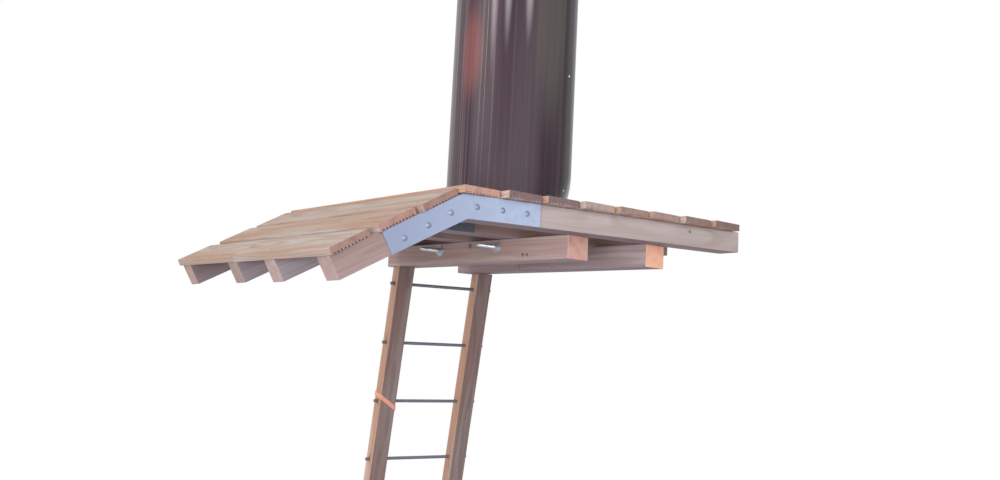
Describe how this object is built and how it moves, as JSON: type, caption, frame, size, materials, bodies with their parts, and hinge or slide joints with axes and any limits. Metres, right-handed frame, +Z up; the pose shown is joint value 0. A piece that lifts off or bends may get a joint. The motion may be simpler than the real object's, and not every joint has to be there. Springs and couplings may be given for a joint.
{
  "type": "tree house platform",
  "caption": "Small timber tree house platform clamped to a trunk by beams and threaded rods, with a level deck, a bent sloping skirt, a ladder and a sheet sleeve.",
  "frame": {"origin": "on the flat of the left clamp beam that bears on the trunk, level with the trunk's axis and at mid height of the beam", "axes": "+X out of that flat, across the boards and through the trunk; +Y along the boards to the back; +Z up"},
  "size_m": [1.6668, 1.6411, 3.128],
  "materials": {
    "beam_timber": "oiled, knotty",
    "frame_timber": "sawn, knotty",
    "board_timber": "oiled decking, grooved underside",
    "stile_timber": "weathered",
    "plate_steel": "galvanised, matt",
    "fastener_steel": "galvanised",
    "sleeve_sheet": "glossy brown sheet",
    "rung_steel": "dark, matt",
    "strap_web": "woven webbing"
  },
  "bodies": {
    "root": {"clamp_beam_left": "beam_timber", "clamp_beam_right": "beam_timber", "clamp_rod_front": "fastener_steel", "clamp_rod_back": "fastener_steel", "clamp_washers": "fastener_steel", "clamp_nuts": "fastener_steel", "sleeve_rivets": "fastener_steel", "deck_joist_1": "frame_timber", "deck_joist_2": "frame_timber", "deck_joist_3_left": "frame_timber", "deck_joist_3_right": "frame_timber", "deck_joist_4": "frame_timber", "slope_rafter_1": "frame_timber", "slope_rafter_2": "frame_timber", "slope_rafter_3": "frame_timber", "slope_rafter_4": "frame_timber", "knee_plate_1": "plate_steel", "knee_plate_2": "plate_steel", "knee_plate_3": "plate_steel", "knee_plate_4": "plate_steel", "knee_bolts_1": "fastener_steel", "knee_bolts_2": "fastener_steel", "knee_bolts_3": "fastener_steel", "knee_bolts_4": "fastener_steel", "deck_board_1": "board_timber", "deck_board_2": "board_timber", "deck_board_3": "board_timber", "deck_board_4": "board_timber", "deck_board_5": "board_timber", "deck_board_6": "board_timber", "deck_board_7": "board_timber", "deck_board_8": "board_timber", "slope_board_1": "board_timber", "slope_board_2": "board_timber", "slope_board_3_front": "board_timber", "slope_board_3_back": "board_timber", "trunk_sleeve": "sleeve_sheet", "ladder_stile_left": "stile_timber", "ladder_stile_right": "stile_timber", "ladder_rungs": "rung_steel", "stile_strap": "strap_web"}
  },
  "joints": []
}
